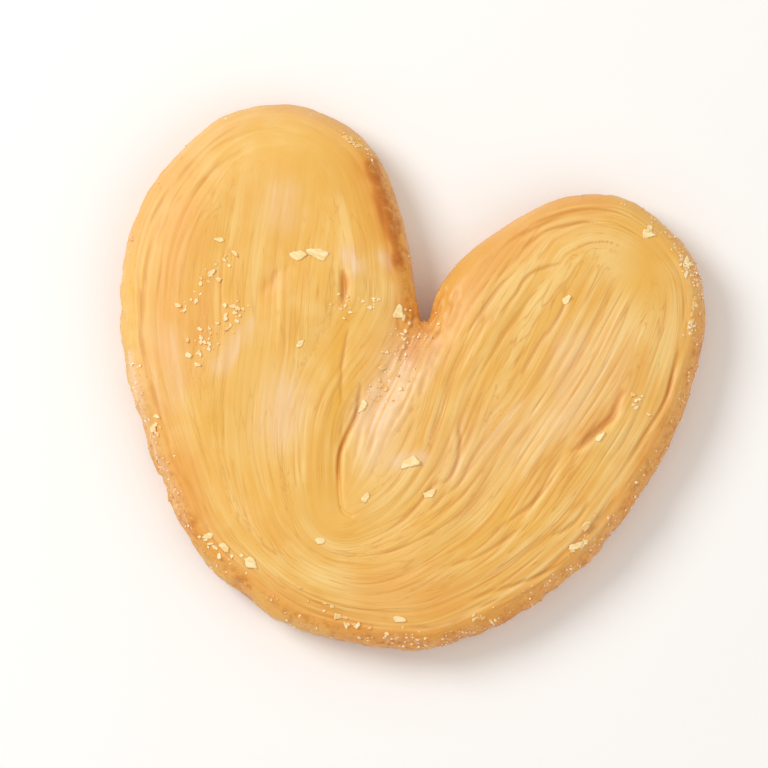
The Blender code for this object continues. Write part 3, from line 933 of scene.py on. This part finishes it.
class Nodes:
    """Adds nodes to a material in the order in which they are used."""

    def __init__(self, name, roughness):
        self.material = bpy.data.materials.new(name)
        self.material.use_nodes = True
        self.tree = self.material.node_tree
        self.shader = self.tree.nodes["Principled BSDF"]
        self.shader.inputs["Roughness"].default_value = roughness

    def add(self, kind, settings=(), **inputs):
        """A node; inputs are values or other nodes' sockets, named as Blender does with _ for a space."""
        node = self.tree.nodes.new(kind)
        for name, value in dict(settings).items():
            setattr(node, name, value)
        for name, value in inputs.items():
            self.connect(node.inputs[name.replace("_", " ")], value)
        return node

    def connect(self, socket, value):
        if isinstance(value, bpy.types.NodeSocket):
            self.tree.links.new(value, socket)
        else:
            socket.default_value = value

    def field(self, name, output="Fac"):
        return self.add("ShaderNodeAttribute", {"attribute_name": name}).outputs[output]

    def noise(self, vector, scale, detail=2.0, roughness=0.5, offset=0.0):
        """Noise from 0 to 1, on a vector that is first scaled and then moved."""
        move = (offset, offset, offset)
        scaled = self.add("ShaderNodeMapping", Vector=vector, Scale=scale, Location=move).outputs["Vector"]
        texture = self.add("ShaderNodeTexNoise", Vector=scaled, Scale=1.0, Detail=detail, Roughness=roughness)
        return texture.outputs["Fac"]

    def ramp(self, value, low, high):
        """0 below low, 1 above high, and smooth between."""
        node = self.add("ShaderNodeMapRange", {"interpolation_type": "SMOOTHSTEP"}, Value=value)
        node.inputs["From Min"].default_value = low
        node.inputs["From Max"].default_value = high
        return node.outputs["Result"]

    def maths(self, operation, first, second):
        node = self.add("ShaderNodeMath", {"operation": operation})
        self.connect(node.inputs[0], first)
        self.connect(node.inputs[1], second)
        return node.outputs[0]

    def mix(self, share, first, second):
        """The first colour where share is 0 and the second where it is 1."""
        node = self.add("ShaderNodeMix", {"data_type": "RGBA"})
        self.connect(node.inputs["Factor"], share)
        self.connect(node.inputs[6], first)
        self.connect(node.inputs[7], second)
        return node.outputs[2]

    def mix_values(self, share, first, second):
        node = self.add("ShaderNodeMix", {"data_type": "FLOAT"})
        self.connect(node.inputs["Factor"], share)
        self.connect(node.inputs["A"], first)
        self.connect(node.inputs["B"], second)
        return node.outputs["Result"]

    def bump(self, height, distance, strength=1.0):
        node = self.add("ShaderNodeBump", Height=height, Distance=distance, Strength=strength)
        self.tree.links.new(node.outputs["Normal"], self.shader.inputs["Normal"])


def crust_material():
    nodes = Nodes("golden_crust", 0.44)
    strand = nodes.field("strand", "Vector")
    grain = nodes.field("grain", "Vector")
    inner = nodes.field("inner")
    place = nodes.add("ShaderNodeTexCoord").outputs["Object"]

    def share(value, most):
        return nodes.maths("MULTIPLY", value, most)

    def streaks(across, along, detail, offset=0.0):
        """Noise drawn out along the strands, and along the straight grain inside the lobes."""
        outer = nodes.noise(strand, (across, along, along), detail, offset=offset)
        middle = nodes.noise(grain, (across, along, along), detail, offset=offset)
        return nodes.mix_values(inner, outer, middle)

    fine = streaks(1.7, 0.08, 2.5)
    broad = streaks(0.5, 0.05, 2)
    patchy = nodes.noise(place, (150, 150, 150), detail=2)
    speckle = nodes.noise(place, (2300, 2300, 2300), detail=2)
    streaky = nodes.field("streaky")

    banded = nodes.ramp(streaky, -0.4, 0.9)
    colour = nodes.mix(share(nodes.ramp(broad, 0.48, 0.66), share(banded, 0.85)), GOLD, STREAK_LIGHT)
    colour = nodes.mix(share(nodes.ramp(broad, 0.46, 0.32), share(banded, 0.5)), colour, STREAK_DARK)
    dark_streaks = share(nodes.ramp(fine, 0.47, 0.28), streaky)
    light_streaks = share(nodes.ramp(fine, 0.56, 0.72), streaky)
    colour = nodes.mix(share(dark_streaks, 0.65), colour, STREAK_DARK)
    colour = nodes.mix(share(light_streaks, 0.85), colour, STREAK_LIGHT)
    colour = nodes.mix(share(nodes.ramp(patchy, 0.5, 0.3), 0.3), colour, STREAK_DARK)
    colour = nodes.mix(share(nodes.ramp(patchy, 0.52, 0.7), 0.5), colour, CREAM)
    blotchy = nodes.noise(place, (70, 70, 70), detail=3, roughness=0.65, offset=3.0)
    colour = nodes.mix(share(nodes.ramp(blotchy, 0.48, 0.64), 0.5), colour, CREAM)
    colour = nodes.mix(share(nodes.ramp(blotchy, 0.48, 0.34), 0.4), colour, AMBER_COLOUR)
    colour = nodes.mix(share(nodes.field("amber"), 0.8), colour, AMBER_COLOUR)
    lined = nodes.ramp(streaky, -0.2, 0.8)
    for across, offset in HAIRLINES:
        contour = streaks(across, 0.03, 1.5, offset)
        off_line = nodes.maths("ABSOLUTE", nodes.maths("SUBTRACT", contour, 0.5), 0.0)
        hairline = share(nodes.ramp(off_line, 0.011, 0.0), lined)
        colour = nodes.mix(share(hairline, 0.42), colour, LINE_AND_HOLLOW_SHADE_COLOUR)
    # Orange tint of the crust, partly painted shade near the rim on the side facing away from the key light.
    colour = nodes.mix(share(nodes.field("orange_tint_and_shade"), 0.75), colour, ORANGE)
    # Painted shade in the hollows of the relief, and darker painted shade in its creases.
    hollow_shade = share(nodes.ramp(nodes.field("relief_shade"), 0.005, 0.06), nodes.ramp(streaky, 0.1, 0.5))
    # Painted highlight on the ridges of the relief.
    raised = nodes.ramp(nodes.field("relief_shade"), -0.01, -0.07)
    colour = nodes.mix(share(raised, 0.35), colour, STREAK_LIGHT)
    colour = nodes.mix(share(hollow_shade, 0.52), colour, LINE_AND_HOLLOW_SHADE_COLOUR)
    colour = nodes.mix(share(nodes.ramp(nodes.field("relief_shade"), 0.07, 0.2), 0.5), colour, CREASE_SHADE_COLOUR)
    uneven_pale = share(nodes.field("pale"), nodes.ramp(fine, 0.2, 0.5))
    colour = nodes.mix(uneven_pale, colour, PALE_COLOUR)
    white_streaks = share(nodes.field("pale"), nodes.ramp(fine, 0.52, 0.7))
    colour = nodes.mix(share(white_streaks, 0.55), colour, SUGAR_COLOUR)

    # Browned crust with painted shade: darker on the side facing away from the key light and in the right lobe's big
    # fold.
    browning_and_shade = nodes.field("browning_and_shade")
    colour = nodes.mix(share(browning_and_shade, 0.82), colour, BROWN_COLOUR)
    colour = nodes.mix(share(nodes.ramp(browning_and_shade, 0.68, 1.0), 0.75), colour, CARAMEL)
    mottled = nodes.noise(place, (1000, 1000, 1000), detail=3, roughness=0.65, offset=7.0)
    crusty = nodes.ramp(share(browning_and_shade, nodes.field("rim")), 0.05, 0.6)
    colour = nodes.mix(share(share(crusty, nodes.ramp(mottled, 0.53, 0.65)), 0.5), colour, GOLD)
    colour = nodes.mix(share(share(crusty, nodes.ramp(mottled, 0.48, 0.37)), 0.4), colour, DARK_BROWN)
    colour = nodes.mix(share(share(crusty, nodes.ramp(speckle, 0.5, 0.3)), 0.25), colour, DARK_BROWN)
    sugared = share(nodes.field("sugar"), nodes.ramp(speckle, 0.52, 0.66))
    colour = nodes.mix(share(sugared, 0.55), colour, SUGAR_COLOUR)
    nodes.connect(nodes.shader.inputs["Base Color"], colour)

    rough = share(speckle, nodes.maths("ADD", nodes.field("rim"), 0.25))
    nodes.bump(nodes.maths("ADD", share(fine, streaky), rough), 0.0001, 0.6)
    return nodes.material


def flake_material():
    nodes = Nodes("pale_flake", 0.5)
    place = nodes.add("ShaderNodeTexCoord").outputs["Object"]
    streaks = nodes.noise(place, (900, 2500, 900), detail=3)
    colour = nodes.mix(nodes.ramp(streaks, 0.35, 0.65), srgb(247, 211, 140), srgb(254, 233, 178))
    nodes.connect(nodes.shader.inputs["Base Color"], colour)
    nodes.bump(streaks, 0.0001, 0.5)
    return nodes.material


def crumb_material():
    nodes = Nodes("toasted_crumb", 0.6)
    place = nodes.add("ShaderNodeTexCoord").outputs["Object"]
    toasted = nodes.noise(place, (420, 420, 420), detail=1)
    grain = nodes.noise(place, (4000, 4000, 4000), detail=2)
    colour = nodes.mix(nodes.ramp(toasted, 0.42, 0.6), srgb(255, 234, 184), srgb(248, 205, 130))
    colour = nodes.mix(nodes.maths("MULTIPLY", nodes.ramp(grain, 0.5, 0.35), 0.2), colour, BROWN_COLOUR)
    nodes.connect(nodes.shader.inputs["Base Color"], colour)
    nodes.bump(grain, 0.00008, 0.5)
    return nodes.material


def sugar_material():
    nodes = Nodes("baked_sugar", 0.22)
    place = nodes.add("ShaderNodeTexCoord").outputs["Object"]
    tint = nodes.noise(place, (1300, 1300, 1300), detail=1)
    colour = nodes.mix(nodes.ramp(tint, 0.4, 0.6), srgb(244, 198, 134), srgb(255, 236, 206))
    nodes.connect(nodes.shader.inputs["Base Color"], colour)
    return nodes.material


def floor_material():
    nodes = Nodes("pale_floor", 0.8)
    nodes.connect(nodes.shader.inputs["Base Color"], (0.97, 0.965, 0.955, 1.0))
    return nodes.material


# ---------------------------------------------------------------- the stage
# The view's up direction on the page is turned by this much from the part's +Y.
VIEW_TURN = math.radians(20)
VIEW_TILT = math.radians(6)  # the camera leans this far towards the fold of the heart
LENS = 200.0
VIEW_DISTANCE = 0.53


def direction(across, up, height):
    """A direction given by the view's right and up, and the part's +Z."""
    right = Vector((math.cos(VIEW_TURN), math.sin(VIEW_TURN), 0))
    upward = Vector((-math.sin(VIEW_TURN), math.cos(VIEW_TURN), 0))
    return (right * across + upward * up + Vector((0, 0, height))).normalized()


def aim(obj, target, up):
    """Turns a camera or a light to look at the target, with the up direction upright."""
    back = (obj.location - target).normalized()
    right = up.cross(back).normalized()
    obj.rotation_euler = Matrix((right, back.cross(right), back)).transposed().to_euler()


def make_camera(target):
    data = bpy.data.cameras.new("camera")
    data.lens = LENS
    camera = bpy.data.objects.new("camera", data)
    bpy.context.scene.collection.objects.link(camera)
    camera.location = target + VIEW_DISTANCE * direction(0, -math.sin(VIEW_TILT), math.cos(VIEW_TILT))
    aim(camera, target, direction(0, 1, 0))
    bpy.context.scene.camera = camera


def add_light(name, side, distance, size, power, colour, target):
    data = bpy.data.lights.new(name, "AREA")
    data.shape = "DISK"
    data.size = size
    data.energy = power
    data.color = colour
    light = bpy.data.objects.new(name, data)
    bpy.context.scene.collection.objects.link(light)
    light.location = target + distance * direction(*side)
    aim(light, target, direction(0, 1, 0.01))


FLOOR = -0.00002  # just below the pastry's flat underside, in metres


def make_stage(target):
    half = 1.5
    corners = [(-half, -half, FLOOR), (half, -half, FLOOR), (half, half, FLOOR), (-half, half, FLOOR)]
    mesh = bpy.data.meshes.new("floor")
    mesh.from_pydata(corners, [], [(0, 1, 2, 3)])
    mesh.materials.append(floor_material())
    floor = bpy.data.objects.new("floor", mesh)
    bpy.context.scene.collection.objects.link(floor)

    add_light("key_light", (-1.15, 0.62, 1.4), 0.6, 0.3, 1.9, (1.0, 1.0, 1.0), target)
    add_light("fill_light", (1.0, -0.6, 1.3), 0.7, 0.6, 0.85, (1.0, 0.93, 0.82), target)
    world = bpy.data.worlds.new("studio")
    world.use_nodes = True
    world.node_tree.nodes["Background"].inputs["Color"].default_value = (1.0, 0.985, 0.96, 1.0)
    world.node_tree.nodes["Background"].inputs["Strength"].default_value = 0.56
    bpy.context.scene.world = world
    bpy.context.scene.view_settings.view_transform = "Standard"


def main():
    cad_box = load_frame()
    low, high = (Vector(corner) for corner in cad_box)
    target = (low + high) / 2
    pastry = make_pastry(crust_material())
    rng = np.random.default_rng(SEED)
    find = surface_finder(pastry)
    make_flakes(find, flake_material(), rng)
    make_crumbs(find, crumb_material(), rng)
    make_sugar(pastry, sugar_material(), rng)
    make_stage(target)
    make_camera(target)


main()
